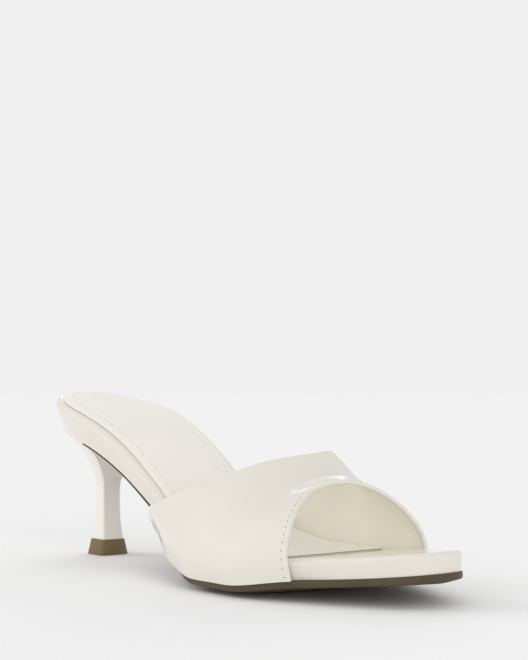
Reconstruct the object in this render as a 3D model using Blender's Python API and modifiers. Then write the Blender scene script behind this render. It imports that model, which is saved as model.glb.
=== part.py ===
"""Kitten heel mule, right shoe, in Blender 4.5.

An open-toed, open-backed slip-on: a wrapped footbed on a thin moulded outsole, a square-section
kitten heel with its top piece, a sock under the foot and one wide vamp band over it.

While the shoe is worked out, X runs from the back of the heel to the toe, Y runs from the outer
(lateral) side at minus to the inner (medial) side at plus, and the floor is Z = 0. The finished
shoe is then moved so that the origin is the bottom centre of its box. All lengths are in metres.
"""
from collections import namedtuple
from math import atan2, cos, pi, radians, sin

import bpy
import numpy as np

# Driving sizes
LENGTH = 0.240
BALL_WIDTH = 0.081
SEAT_HEIGHT = 0.0610
TREAD_LIFT = 0.0021
TREAD_CROWN = 0.0026
TOE_SPRING = 0.0070
OUTSOLE_THICKNESS = 0.0027
OUTSOLE_START = 0.046
FOREFOOT_EDGE = 0.0070
WAIST_EDGE = 0.0120
WAIST_TUCK = 0.0033
SEAT_ROUND = 0.044
TOE_ROUND = 0.016
TOE_SQUARENESS = 3.5
EDGE_RADIUS = 0.0016
SOCK_THICKNESS = 0.0012
SOCK_INSET = 0.0018
SOCK_END = 0.172
BAND_WALL = 0.0018
BAND_STEP = 0.0012
BAND_GAP = 0.0007
INSTEP_HEIGHT = 0.0407
CREST_OFFSET = 0.0192
COLLAR_CREST = 0.157
COLLAR_CORNER = 0.101
OPENING_CREST = 0.1815
OPENING_CORNER = 0.199
LATERAL_FULLNESS = 1.76
MEDIAL_FULLNESS = 1.92
HEEL_CENTRE = 0.026
HEEL_STEM_DEPTH = 0.0069
HEEL_STEM_WIDTH = 0.0082
HEEL_FOOT_DEPTH = 0.0104
HEEL_FOOT_WIDTH = 0.0100
HEEL_SQUARENESS = 9.0
TOP_PIECE_HEIGHT = 0.0070
TOP_PIECE_DEPTH = 0.0121
TOP_PIECE_WIDTH = 0.0142
CLEARANCE = 0.0003

# How finely the pieces are faceted
STATIONS = 44
RIBS = 8
BAND_TURNS = 44
BAND_ROWS = 13
HEEL_POINTS = 48
CUT_REACH = 0.02
NUDGE = 1e-6

# Levels down the footbed's side, from its top to its foot, where its last stretch is upright
SIDE_SHARES = (0.30, 0.60, 0.85, 1.00)

# Half widths along the shoe before its ends are rounded, as shares of the ball width
Width = namedtuple("Width", "along lateral medial")
WIDTHS = (
    Width(0.00, 0.350, 0.346),
    Width(0.18, 0.355, 0.352),
    Width(0.30, 0.323, 0.321),
    Width(0.42, 0.314, 0.304),
    Width(0.54, 0.430, 0.375),
    Width(0.64, 0.505, 0.472),
    Width(0.72, 0.505, 0.488),
    Width(0.82, 0.410, 0.416),
    Width(0.92, 0.262, 0.288),
    Width(1.00, 0.152, 0.188),
)

# The arch and the footbed's side along the shoe: rise is a share of the seat height, lift of the
# tread lift, spring of the toe spring, crown of the tread crown, tuck and welt of the waist tuck,
# step of the band step and sole of the outsole's thickness. edge runs from the forefoot edge at 0
# to the waist edge at 1. tuck is how far the footbed's side draws in, and welt the outsole's edge.
Profile = namedtuple("Profile", "along rise lift spring crown edge tuck welt step sole")
PROFILES = (
    Profile(0.00, 1.000, 0.0, 0.00, 0.00, 1.00, 1.00, 1.00, 0.0, 0.30),
    Profile(0.07, 0.944, 0.0, 0.00, 0.00, 1.00, 1.00, 1.00, 0.0, 0.30),
    Profile(0.20, 0.820, 0.0, 0.00, 0.00, 1.00, 1.00, 1.00, 0.0, 0.32),
    Profile(0.30, 0.645, 0.0, 0.00, 0.30, 1.00, 1.00, 1.00, 0.0, 0.42),
    Profile(0.42, 0.366, 0.0, 0.00, 0.55, 0.72, 1.00, 0.95, 0.1, 0.58),
    Profile(0.54, 0.070, 1.0, 0.00, 0.90, 0.25, 0.70, 0.45, 0.3, 0.85),
    Profile(0.64, 0.000, 1.0, 0.00, 1.00, 0.00, 0.50, 0.05, 0.4, 1.00),
    Profile(0.72, 0.000, 1.0, 0.00, 1.00, 0.00, 0.45, 0.00, 0.4, 1.00),
    Profile(0.82, 0.000, 1.0, 0.41, 1.00, 0.00, 0.35, 0.00, 0.5, 1.00),
    Profile(0.92, 0.000, 1.0, 0.70, 0.90, 0.00, 0.15, 0.00, 0.5, 1.00),
    Profile(1.00, 0.000, 1.0, 1.00, 0.75, 0.00, 0.15, 0.00, 0.5, 1.00),
)

# The band's crest over the footbed: its height as a share of the instep height, and how far it
# lies towards the inner side, as a share of the crest offset.
Crest = namedtuple("Crest", "along height inward")
CRESTS = (
    Crest(0.38, 0.62, 0.68),
    Crest(0.46, 0.86, 0.68),
    Crest(0.54, 1.00, 0.83),
    Crest(0.62, 1.00, 0.99),
    Crest(0.70, 0.72, 0.83),
    Crest(0.77, 0.62, 0.38),
    Crest(0.86, 0.41, 0.16),
)

# The band's two edges. turn is the angle over the foot as a share of the half circle. collar and
# opening run from their corner by the sole at 0 to their crest at 1.
Edge = namedtuple("Edge", "turn collar opening")
EDGES = (
    Edge(0.00, 0.10, 0.03),
    Edge(0.14, 0.45, 0.17),
    Edge(0.28, 0.86, 0.56),
    Edge(0.42, 0.99, 0.98),
    Edge(0.50, 1.00, 1.00),
    Edge(0.58, 0.94, 0.85),
    Edge(0.72, 0.84, 0.58),
    Edge(0.86, 0.53, 0.22),
    Edge(1.00, 0.14, 0.02),
)

# The heel from its top piece up to the seat. rise is the share of its height, foot how much of
# the foot's size shows over the stem's, and flare how much of the seat's.
Heel = namedtuple("Heel", "rise foot flare")
HEELS = (
    Heel(0.00, 1.00, 0.000),
    Heel(0.06, 0.72, 0.000),
    Heel(0.15, 0.36, 0.000),
    Heel(0.28, 0.08, 0.000),
    Heel(0.42, 0.00, 0.000),
    Heel(0.54, 0.00, 0.020),
    Heel(0.60, 0.00, 0.085),
    Heel(0.67, 0.00, 0.185),
    Heel(0.75, 0.00, 0.330),
    Heel(0.82, 0.00, 0.480),
    Heel(0.88, 0.00, 0.640),
    Heel(0.94, 0.00, 0.830),
    Heel(0.97, 0.00, 0.930),
    Heel(1.00, 0.00, 1.000),
)


def smooth(rows, column, along):
    """Read a column of a table at a place along it, on a curve that never overshoots."""
    keys = [row[0] for row in rows]
    values = [getattr(row, column) for row in rows]
    place = min(max(along, keys[0]), keys[-1])
    span = min(sum(key <= place for key in keys), len(keys) - 1) - 1
    steps = np.diff(keys)
    slopes = np.diff(values) / steps

    def tangent(i):
        if i == 0 or i == len(slopes):
            return slopes[min(i, len(slopes) - 1)]
        if slopes[i - 1] * slopes[i] <= 0:
            return 0.0
        before = 2 * steps[i] + steps[i - 1]
        after = steps[i] + 2 * steps[i - 1]
        return (before + after) / (before / slopes[i - 1] + after / slopes[i])

    t = (place - keys[span]) / steps[span]
    rising = t * t * (3 - 2 * t)
    bend = t * (1 - t) * steps[span] * ((1 - t) * tangent(span) - t * tangent(span + 1))
    return float(values[span] * (1 - rising) + values[span + 1] * rising + bend)


def profile(x, column):
    return smooth(PROFILES, column, x / LENGTH)


def half_width(x, side):
    """The shoe's half width at x, on the lateral (-1) or the medial (+1) side."""
    width = BALL_WIDTH * smooth(WIDTHS, "lateral" if side < 0 else "medial", x / LENGTH)
    if x < SEAT_ROUND:
        width *= max(0.0, 1 - (1 - x / SEAT_ROUND) ** 2) ** 0.5
    if x > LENGTH - TOE_ROUND:
        reach = min(1.0, (x - LENGTH + TOE_ROUND) / TOE_ROUND)
        width *= (1 - reach ** TOE_SQUARENESS) ** (1 / TOE_SQUARENESS)
    return width


def sole_edge(x):
    """Height of the outsole's lower edge: the seat, the arch, the tread and the toe spring."""
    return (SEAT_HEIGHT * profile(x, "rise") + TREAD_LIFT * profile(x, "lift")
            + TOE_SPRING * profile(x, "spring"))


def tread(x, across):
    """The outsole's underside: crowned, and flat where it stands on the floor.

    across is the share of the way from the middle to the edge.
    """
    crown = TREAD_CROWN * profile(x, "crown") * (1 - across ** 2)
    return max(0.0, sole_edge(x) - crown)


def sole_top(x, across):
    return tread(x, across) + OUTSOLE_THICKNESS * profile(x, "sole")


def footbed_bottom(x, across):
    return sole_top(x, across) + CLEARANCE


def footbed_top(x, across=1.0):
    edge = FOREFOOT_EDGE + (WAIST_EDGE - FOREFOOT_EDGE) * profile(x, "edge")
    return footbed_bottom(x, 1.0) + edge


def tuck(x, share=1.0):
    """How far the footbed's side has drawn in, at a share of the way down it."""
    drawn = min(1.0, share / SIDE_SHARES[-2])
    return WAIST_TUCK * profile(x, "tuck") * drawn ** 2 * (3 - 2 * drawn)


def step(x):
    """How far the footbed stands in from the sole's outline, to leave room for the band."""
    return BAND_STEP * profile(x, "step")


def welt(x):
    """How far the outsole's edge stands in from the outline."""
    return WAIST_TUCK * profile(x, "welt")


def side_point(x, side, inset, cuts):
    """A point of the plan outline, drawn in square to itself; beside a cut it keeps its x."""
    low, high = max(0.0, x - NUDGE), min(LENGTH, x + NUDGE)
    slope = (half_width(high, side) - half_width(low, side)) / (high - low)
    slant = (1 + slope ** 2) ** 0.5
    free = min([1.0] + [abs(x - cut) / CUT_REACH for cut in cuts])
    forward = inset * slope / slant * free
    return x + forward, side * (half_width(x, side) - inset * slant + slope * forward)


def ring(inset, height, start=0.0, end=LENGTH):
    """A closed ring of the shoe's plan, from the back round the lateral side to the toe.

    inset(x) is how far it is drawn in and height(x, across) how high it lies. An end that is cut
    across the shoe gets points along its cut, so that a crowned face can meet it.
    """
    cuts = [cut for cut, tip in ((start, 0.0), (end, LENGTH)) if cut != tip]
    along = [start + (end - start) * (1 - cos(pi * i / STATIONS)) / 2 for i in range(STATIONS + 1)]
    lateral = [side_point(x, -1, inset(x), cuts) for x in along]
    medial = [side_point(x, 1, inset(x), cuts) for x in along]

    def between(i):
        return [(lateral[i][0], lateral[i][1] + (medial[i][1] - lateral[i][1]) * j / RIBS,
                 abs(2 * j / RIBS - 1)) for j in range(1, RIBS)]

    plan = [point + (1.0,) for point in lateral]
    if end in cuts:
        plan += between(-1) + [medial[-1] + (1.0,)]
    plan += [point + (1.0,) for point in medial[-2:0:-1]]
    if start in cuts:
        plan += [medial[0] + (1.0,)] + between(0)[::-1]
    return [(x, y, height(x, across)) for x, y, across in plan]


def mesh_object(name, points, faces, collection):
    mesh = bpy.data.meshes.new(name)
    mesh.from_pydata(points, [], faces)
    made = bpy.data.objects.new(name, mesh)
    collection.objects.link(made)
    return made


def walls(levels, count):
    """Faces between rings of count points each, stacked from the lowest up."""
    faces = []
    for level in range(levels - 1):
        for i in range(count):
            after = (i + 1) % count
            lower, upper = level * count, (level + 1) * count
            faces.append((lower + i, lower + after, upper + after, upper + i))
    return faces


def layered(name, rings, low, high, collection, cut_start=False, cut_end=False):
    """A closed solid from rings stacked from the lowest up, with ribbed faces below and above."""
    count = len(rings[0])
    extra = RIBS if cut_end else 0
    points = [point for stacked in rings for point in stacked]
    faces = walls(len(rings), count)
    for height, offset, facing_up in ((low, 0, False), (high, (len(rings) - 1) * count, True)):
        grid = []
        for i in range(STATIONS + 1):
            left, right = i, 2 * STATIONS + extra - i
            if 0 < i < STATIONS:
                near, far = points[offset + left], points[offset + right]
                row = [offset + left]
                for j in range(1, RIBS):
                    share = j / RIBS
                    x = near[0] + (far[0] - near[0]) * share
                    y = near[1] + (far[1] - near[1]) * share
                    row.append(len(points))
                    points.append((x, y, height(x, abs(2 * share - 1))))
                row.append(offset + right)
            elif i == 0 and cut_start:
                row = [offset] + [offset + count - j for j in range(1, RIBS + 1)]
            elif i == STATIONS and cut_end:
                row = [offset + STATIONS + j for j in range(RIBS + 1)]
            else:
                row = [offset + i] * (RIBS + 1)
            grid.append(row)
        for before, after in zip(grid[:-1], grid[1:]):
            for j in range(RIBS):
                face = list(dict.fromkeys((before[j], after[j], after[j + 1], before[j + 1])))
                faces.append(face if facing_up else face[::-1])
    return mesh_object(name, points, faces, collection)


def make_outsole(collection):
    """The moulded sole, from the heel's breast to the toe, with a softened lower corner."""
    corner = 0.25 * OUTSOLE_THICKNESS

    def low(x, across):
        return tread(x, across)

    def shoulder(x, across):
        return tread(x, across) + corner * profile(x, "sole")

    rings = [
        ring(lambda x: welt(x) + corner, low, OUTSOLE_START + corner),
        ring(welt, shoulder, OUTSOLE_START),
        ring(welt, sole_top, OUTSOLE_START),
    ]
    return layered("outsole", rings, low, sole_top, collection, cut_start=True)


def make_platform(collection):
    """The wrapped footbed: a rounded upper edge, and sides that draw in under waist and seat."""
    def side_ring(share):
        def height(x, across):
            bottom = footbed_bottom(x, across)
            return bottom + (1 - share) * (footbed_top(x) - footbed_bottom(x, 1.0))

        return ring(lambda x: step(x) + tuck(x, share), height)

    def edge_ring(turn):
        inset = EDGE_RADIUS * (1 - cos(radians(turn)))
        drop = EDGE_RADIUS * (1 - sin(radians(turn)))
        return ring(lambda x: step(x) + inset, lambda x, across: footbed_top(x) - drop)

    rings = [side_ring(share) for share in SIDE_SHARES[::-1]]
    rings += [edge_ring(turn) for turn in (0, 30, 60, 90)]
    return layered("platform", rings, footbed_bottom, footbed_top, collection)


def make_sock(collection):
    """The insole pad on the footbed, cut straight across behind the toes."""
    rim = 0.4 * SOCK_THICKNESS

    def bottom(x, across):
        return footbed_top(x) + CLEARANCE

    def top(x, across):
        return bottom(x, across) + SOCK_THICKNESS

    def inset(x):
        return step(x) + EDGE_RADIUS + SOCK_INSET

    rings = [
        ring(inset, bottom, end=SOCK_END),
        ring(inset, lambda x, across: top(x, across) - rim, end=SOCK_END),
        ring(lambda x: inset(x) + rim, top, end=SOCK_END - rim),
    ]
    return layered("sock", rings, bottom, top, collection, cut_end=True)


def make_upper(collection):
    """The vamp band: one wall from the outsole's edge, up the footbed's side and over the foot."""
    def rim(x, side, share=0.0):
        """Half width inside the band's wall, at a share of the way down the footbed's side."""
        return side * side_point(x, side, step(x) + tuck(x, share) - BAND_GAP, [x])[1]

    def over_foot(x, turn):
        """A point of the inner face; turns 0 and 1 are level with the top of the footbed."""
        along = x / LENGTH
        middle = CREST_OFFSET * smooth(CRESTS, "inward", along)
        side, fullness = (-1, LATERAL_FULLNESS) if turn < 0.5 else (1, MEDIAL_FULLNESS)
        reach = rim(x, side) - side * middle
        out = abs(cos(pi * turn)) ** (2 / fullness)
        up = max(0.0, sin(pi * turn)) ** (2 / fullness)
        height = INSTEP_HEIGHT * smooth(CRESTS, "height", along)
        return x, middle + side * reach * out, footbed_top(x) + height * up

    def down_side(x, side, share):
        """A point down the footbed's side, from its top at 0 to the outsole at 1."""
        low = sole_top(x, 1.0) + CLEARANCE
        return x, side * rim(x, side, share), footbed_top(x) + share * (low - footbed_top(x))

    def row(turn, share, place):
        """One row of the band from the collar to the opening; share is how far down the side."""
        back = smooth(EDGES, "collar", turn) * (1 - share)
        front = smooth(EDGES, "opening", turn) * (1 - share)
        back = COLLAR_CORNER + (COLLAR_CREST - COLLAR_CORNER) * back
        front = OPENING_CORNER + (OPENING_CREST - OPENING_CORNER) * front
        return [place(back + (front - back) * i / BAND_ROWS) for i in range(BAND_ROWS + 1)]

    rows = []
    for share in SIDE_SHARES[::-1]:
        rows.append(row(0.0, share, lambda x: down_side(x, -1, share)))
    for j in range(BAND_TURNS + 1):
        turn = j / BAND_TURNS
        rows.append(row(turn, 0.0, lambda x: over_foot(x, turn)))
    for share in SIDE_SHARES:
        rows.append(row(1.0, share, lambda x: down_side(x, 1, share)))
    width = BAND_ROWS + 1
    faces = [(first, first + 1, first + width + 1, first + width)
             for j in range(len(rows) - 1) for first in range(j * width, (j + 1) * width - 1)]
    band = mesh_object("upper", [point for line in rows for point in line], faces, collection)
    wall = band.modifiers.new("wall", "SOLIDIFY")
    wall.thickness = BAND_WALL
    wall.offset = 1
    wall.use_even_offset = True
    return band


def turns(corner):
    """Angles round a four-cornered section, with one of them on each corner."""
    steps = HEEL_POINTS // 8
    quarter = [corner * i / steps for i in range(steps)]
    quarter += [corner + (pi / 2 - corner) * i / steps for i in range(steps)]
    half = quarter + [pi / 2] + [pi - turn for turn in quarter[:0:-1]]
    return half + [pi] + [2 * pi - turn for turn in half[:0:-1]]


def block_radius(turn, depth, width):
    """Radius of a block's section with softened corners, at an angle from straight ahead."""
    ahead = abs(cos(turn) / (depth / 2)) ** HEEL_SQUARENESS
    aside = abs(sin(turn) / (width / 2)) ** HEEL_SQUARENESS
    return (ahead + aside) ** (-1 / HEEL_SQUARENESS)


def seat_radius(turn, plan):
    """Distance from the heel's centre to the seat's outline in one direction."""
    along, across = cos(turn), sin(turn)
    reach = 0.0
    for first, second in zip(plan, plan[1:] + plan[:1]):
        x, y = first[0] - HEEL_CENTRE, first[1]
        dx, dy = second[0] - first[0], second[1] - first[1]
        spread = along * dy - across * dx
        if spread > 0:
            place = (across * x - along * y) / spread
            if -NUDGE <= place <= 1 + NUDGE:
                reach = max(reach, (x * dy - y * dx) / spread)
    return reach


def stacked(name, rings, collection):
    """A closed solid from rings stacked from the lowest up, closed by strips across its ends."""
    count = len(rings[0])
    faces = walls(len(rings), count)
    for offset, facing_up in ((0, False), ((len(rings) - 1) * count, True)):
        for i in range(count // 2):
            corners = (i, i + 1, count - i - 1, (count - i) % count)
            face = [offset + corner for corner in dict.fromkeys(corners)]
            faces.append(face if facing_up else face[::-1])
    return mesh_object(name, [point for ring_points in rings for point in ring_points], faces, collection)


def make_heel(collection):
    """The covered heel: a square waisted stem that flares out to the seat like a cup."""
    foot = TOP_PIECE_HEIGHT + CLEARANCE
    breast = OUTSOLE_START - CLEARANCE
    plan = ring(tuck, footbed_bottom, end=breast)
    seat_turns = turns(atan2(half_width(breast, -1) - tuck(breast), breast - HEEL_CENTRE))
    rings = []
    for row in HEELS:
        depth = HEEL_STEM_DEPTH + (HEEL_FOOT_DEPTH - HEEL_STEM_DEPTH) * row.foot
        width = HEEL_STEM_WIDTH + (HEEL_FOOT_WIDTH - HEEL_STEM_WIDTH) * row.foot
        level = []
        for stem_turn, seat_turn in zip(turns(atan2(width, depth)), seat_turns):
            turn = stem_turn + (seat_turn - stem_turn) * row.flare
            stem = block_radius(stem_turn, depth, width)
            radius = stem + (seat_radius(seat_turn, plan) - stem) * row.flare
            x, y = HEEL_CENTRE + radius * cos(turn), radius * sin(turn)
            seat = footbed_bottom(x, 1.0) - CLEARANCE
            level.append((x, y, foot + (seat - foot) * row.rise))
        rings.append(level)
    return stacked("heel", rings, collection)


def make_top_piece(collection):
    """The hard block that the heel stands on, wider at the floor."""
    rings = []
    for height, depth, width in ((0.0, TOP_PIECE_DEPTH, TOP_PIECE_WIDTH),
                                 (TOP_PIECE_HEIGHT, HEEL_FOOT_DEPTH, HEEL_FOOT_WIDTH)):
        level = []
        for turn in turns(atan2(width, depth)):
            radius = block_radius(turn, depth, width)
            level.append((HEEL_CENTRE + radius * cos(turn), radius * sin(turn), height))
        rings.append(level)
    return stacked("top_piece", rings, collection)


def finish(made, colour, roughness, coat):
    """Give a piece its material and smooth shading."""
    material = bpy.data.materials.new(made.name)
    material.use_nodes = True
    shader = material.node_tree.nodes["Principled BSDF"]
    shader.inputs["Base Color"].default_value = (*colour, 1.0)
    shader.inputs["Roughness"].default_value = roughness
    shader.inputs["Coat Weight"].default_value = coat
    made.data.materials.append(material)
    made.data.shade_smooth()
    made.data.set_sharp_from_angle(angle=radians(35))


def centre(pieces):
    """Move the pieces so that the origin is the bottom centre of their box."""
    bpy.context.view_layer.update()
    graph = bpy.context.evaluated_depsgraph_get()
    corners = [vertex.co[:] for made in pieces for vertex in made.evaluated_get(graph).data.vertices]
    low, high = np.min(corners, axis=0), np.max(corners, axis=0)
    for made in pieces:
        made.location = (-(low[0] + high[0]) / 2, -(low[1] + high[1]) / 2, -low[2])


def main():
    for old in list(bpy.data.objects):
        bpy.data.objects.remove(old, do_unlink=True)
    shoe = bpy.data.collections.new("kitten_heel_mule")
    bpy.context.scene.collection.children.link(shoe)
    pieces = []
    for make, colour, roughness, coat in (
            (make_outsole, (0.12, 0.095, 0.055), 0.55, 0.0),
            (make_platform, (0.80, 0.76, 0.67), 0.30, 0.8),
            (make_sock, (0.82, 0.79, 0.73), 0.65, 0.0),
            (make_upper, (0.80, 0.77, 0.69), 0.28, 0.8),
            (make_heel, (0.80, 0.76, 0.67), 0.30, 0.8),
            (make_top_piece, (0.22, 0.15, 0.08), 0.55, 0.0)):
        made = make(shoe)
        finish(made, colour, roughness, coat)
        pieces.append(made)
    centre(pieces)


main()
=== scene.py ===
"""Kitten heel mule: the looks of one right shoe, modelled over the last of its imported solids.

The file is laid out as an add-on. Each piece of the shoe has its own operator, and main() runs
them in the order in which the shoe is put together. All lengths are in metres.
"""

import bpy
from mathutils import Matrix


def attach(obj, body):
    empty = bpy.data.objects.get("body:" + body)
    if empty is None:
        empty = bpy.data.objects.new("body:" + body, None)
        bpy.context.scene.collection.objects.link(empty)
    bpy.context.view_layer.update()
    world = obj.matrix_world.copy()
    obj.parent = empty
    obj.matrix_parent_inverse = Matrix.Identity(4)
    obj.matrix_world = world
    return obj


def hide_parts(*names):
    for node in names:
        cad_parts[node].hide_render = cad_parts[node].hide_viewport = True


bl_info = {
    "name": "Kitten Heel Mule",
    "version": (1, 0, 0),
    "blender": (4, 5, 0),
    "location": "View3D > Sidebar > Mule",
    "description": "Dresses the solids of a kitten heel mule in patent, lining, sock and stitches",
    "category": "Add Mesh",
}

from math import atan2, cos, pi, radians, sin

import bpy
from bpy.props import FloatProperty, FloatVectorProperty, PointerProperty
from bpy.types import Operator, Panel, PropertyGroup
from mathutils import Vector

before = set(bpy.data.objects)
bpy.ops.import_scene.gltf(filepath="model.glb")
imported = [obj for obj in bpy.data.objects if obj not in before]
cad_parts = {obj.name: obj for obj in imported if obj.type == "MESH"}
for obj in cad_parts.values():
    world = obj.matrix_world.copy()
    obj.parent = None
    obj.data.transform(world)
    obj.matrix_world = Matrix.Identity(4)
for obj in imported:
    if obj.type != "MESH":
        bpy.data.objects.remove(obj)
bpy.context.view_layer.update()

BODY = "root"
WELD = 1e-6
PLACE = Vector((-0.120, 0.000702, 0.0))

# Measures of the last and of what is built on it. The heel, the top piece, the sock's inset and the
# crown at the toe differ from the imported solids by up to 1.6 mm, to sit as in the photograph.
LENGTH = 0.240
BALL_WIDTH = 0.081
SEAT_HEIGHT = 0.0610
TREAD_LIFT = 0.0021
TREAD_CROWN = 0.0026
TOE_SPRING = 0.0070
OUTSOLE_THICKNESS = 0.0027
OUTSOLE_START = 0.046
FOREFOOT_EDGE = 0.0070
WAIST_EDGE = 0.0120
WAIST_TUCK = 0.0033
SEAT_ROUND = 0.044
TOE_ROUND = 0.016
TOE_SQUARENESS = 3.5
SOCK_THICKNESS = 0.0012
SOCK_INSET = 0.0034
SOCK_END = 0.172
WALL = 0.0018
BAND_STEP = 0.0012
BAND_GAP = 0.0007
INSTEP_HEIGHT = 0.0407
CREST_OFFSET = 0.0192
COLLAR_CREST = 0.157
COLLAR_CORNER = 0.101
OPENING_CREST = 0.1815
OPENING_CORNER = 0.199
LATERAL_FULLNESS = 1.76
MEDIAL_FULLNESS = 1.92
HEEL_CENTRE = 0.026
HEEL_STEM_DEPTH = 0.0075
HEEL_STEM_WIDTH = 0.0088
HEEL_FOOT_DEPTH = 0.0110
HEEL_FOOT_WIDTH = 0.0107
HEEL_SQUARENESS = 9.0
TOP_PIECE_HEIGHT = 0.0070
TOP_PIECE_DEPTH = 0.0127
TOP_PIECE_WIDTH = 0.0150
TOP_PIECE_TOP_DEPTH = 0.0120
TOP_PIECE_TOP_WIDTH = 0.0116
CLEARANCE = 0.0003
SEAM = 0.00004

# The band's grid, folds and turned edges
FOLD_ROW = 0.0006
PLAIN_ROW = 0.0040
LIP = 0.00012
LINING_LIE = 0.8
SHARPEST_SLANT = 0.5
CORNER_REACH = 0.045
CORNER_RISE = 0.020
CORNER_DROP = 0.004

# How deep the stitches lie in the band and in the sock, as shares of the thread
BAND_SINK = 0.22
SOCK_SINK = 0.40

# Studio: light of the surround on the shoe, its look in the picture, and the soft lamps, each with
# its azimuth, elevation, strength and spread
SURROUND_LIGHT = 0.72
BACKDROP_LIGHT = 0.871
LAMPS = (
    ("back_screen", 218.0, 11.0, 1.1, 45.0),
    ("front_screen", 64.0, 17.0, 0.95, 45.0),
    ("side_screen", 303.0, 20.0, 1.0, 45.0),
    ("edge_light", 235.0, 18.0, 0.06, 20.0),
)
CAMERA_PLACE = (0.47003, -0.34596)
CAMERA_TURN = (radians(92.587), 0.0, radians(52.243))
CAMERA_LENS = 78.2

# How finely the pieces are modelled
STATIONS = 84
RIBS = 8
BAND_STEPS = 26
BAND_LINES = 141
BAND_SETTLE = 30
HEEL_POINTS = 96
HEEL_LEVELS = 40
CUT_REACH = 0.02
STITCH_SIDES = 8
SOCK_STITCH_END = 0.135


# Sizes and colours that a user would change

class MuleSizes(PropertyGroup):
    turning: FloatProperty(
        name="Turning", description="How far the patent turns round onto the inside of the band",
        default=0.0022, unit="LENGTH")
    lining_step: FloatProperty(
        name="Lining step", description="How deep the lining lies under the turned patent",
        default=0.0003, unit="LENGTH")
    stitch_inset: FloatProperty(
        name="Stitch inset", description="Distance of the band's stitches from its front edge",
        default=0.0020, unit="LENGTH")
    stitch_pitch: FloatProperty(
        name="Stitch pitch", description="Distance from one stitch to the next",
        default=0.0031, unit="LENGTH")
    corner_fullness: FloatProperty(
        name="Corner fullness", description="How far the band's lower back corners stand out",
        default=0.0018, unit="LENGTH")
    thread_width: FloatProperty(
        name="Thread width", description="Thickness of the sewing thread",
        default=0.00055, unit="LENGTH")
    sock_stitch_inset: FloatProperty(
        name="Sock stitch inset", description="Distance of the sock's stitches from its edge",
        default=0.0046, unit="LENGTH")
    sock_stitch_pitch: FloatProperty(
        name="Sock stitch pitch",
        description="Distance from one of the sock's stitches to the next",
        default=0.0052, unit="LENGTH")
    hard_edge: FloatProperty(
        name="Hard edge", description="Rounding of the top piece's upper and lower edges",
        default=0.0004, unit="LENGTH")
    toe_round: FloatProperty(
        name="Toe round", description="Rounding of the platform's upper edge at the toe",
        default=0.0022, unit="LENGTH")
    seat_round: FloatProperty(
        name="Seat round", description="Rounding of the platform's upper edge at waist and seat",
        default=0.0034, unit="LENGTH")
    toe_reach: FloatProperty(
        name="Toe reach", description="How far the wrapped toe stands out to the sole's edge",
        default=0.0006, unit="LENGTH")
    sock_edge: FloatProperty(
        name="Sock edge", description="Thickness of the sock at its skived edge",
        default=0.00035, unit="LENGTH")
    sock_slope: FloatProperty(
        name="Sock slope", description="Width over which the sock is skived to its edge",
        default=0.0035, unit="LENGTH")
    camera_height: FloatProperty(
        name="Camera height", description="Height of the camera over the floor",
        default=0.07244, unit="LENGTH")
    floor_radius: FloatProperty(
        name="Floor radius", description="Radius of the studio floor", default=40.0, unit="LENGTH")


class MuleColours(PropertyGroup):
    patent: FloatVectorProperty(
        name="Patent", description="Off-white patent of band, platform and heel",
        default=(0.775, 0.742, 0.665), subtype="COLOR", min=0.0, max=1.0)
    # Painted light: the heel's patent is set lighter than the band's and the platform's to offset
    # the shade that falls on the heel, not for a lighter material
    heel: FloatVectorProperty(
        name="Heel", description="Off-white patent that covers the heel",
        default=(0.88, 0.85, 0.78), subtype="COLOR", min=0.0, max=1.0)
    # The lining's own cream, set lighter still as painted light to offset the shade inside the band
    lining: FloatVectorProperty(
        name="Lining", description="Cream lining inside the band",
        default=(0.97, 0.935, 0.83), subtype="COLOR", min=0.0, max=1.0)
    sock: FloatVectorProperty(
        name="Sock", description="Smooth leather under the foot",
        default=(0.89, 0.86, 0.80), subtype="COLOR", min=0.0, max=1.0)
    sole: FloatVectorProperty(
        name="Outsole", description="Brown moulded outsole",
        default=(0.100, 0.077, 0.042), subtype="COLOR", min=0.0, max=1.0)
    top_piece: FloatVectorProperty(
        name="Top piece", description="Brown rubber under the heel",
        default=(0.235, 0.165, 0.085), subtype="COLOR", min=0.0, max=1.0)
    thread: FloatVectorProperty(
        name="Thread", description="Off-white sewing thread",
        default=(0.84, 0.81, 0.74), subtype="COLOR", min=0.0, max=1.0)
    floor: FloatVectorProperty(
        name="Floor", description="Pale studio floor",
        default=(0.888, 0.888, 0.888), subtype="COLOR", min=0.0, max=1.0)


def sizes():
    return bpy.context.scene.mule_sizes


def colours():
    return bpy.context.scene.mule_colours


# Materials

def material(name, colour, roughness, coat=0.0, coat_roughness=0.03):
    """A new material with its shader's own values set, and its node tree and shader."""
    made = bpy.data.materials.new(name)
    made.use_nodes = True
    tree = made.node_tree
    shader = tree.nodes["Principled BSDF"]
    shader.inputs["Base Color"].default_value = (*colour, 1.0)
    shader.inputs["Roughness"].default_value = roughness
    shader.inputs["Coat Weight"].default_value = coat
    shader.inputs["Coat Roughness"].default_value = coat_roughness
    return made, tree, shader


def noise(tree, scale, detail=3.0, roughness=0.5):
    """A noise texture that reads the piece's own place in the shoe."""
    place = tree.nodes.new("ShaderNodeTexCoord")
    made = tree.nodes.new("ShaderNodeTexNoise")
    made.inputs["Scale"].default_value = scale
    made.inputs["Detail"].default_value = detail
    made.inputs["Roughness"].default_value = roughness
    tree.links.new(place.outputs["Object"], made.inputs["Vector"])
    return made


def cells(tree, scale):
    """A cell pattern for leather pores."""
    place = tree.nodes.new("ShaderNodeTexCoord")
    made = tree.nodes.new("ShaderNodeTexVoronoi")
    made.inputs["Scale"].default_value = scale
    tree.links.new(place.outputs["Object"], made.inputs["Vector"])
    return made


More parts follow.
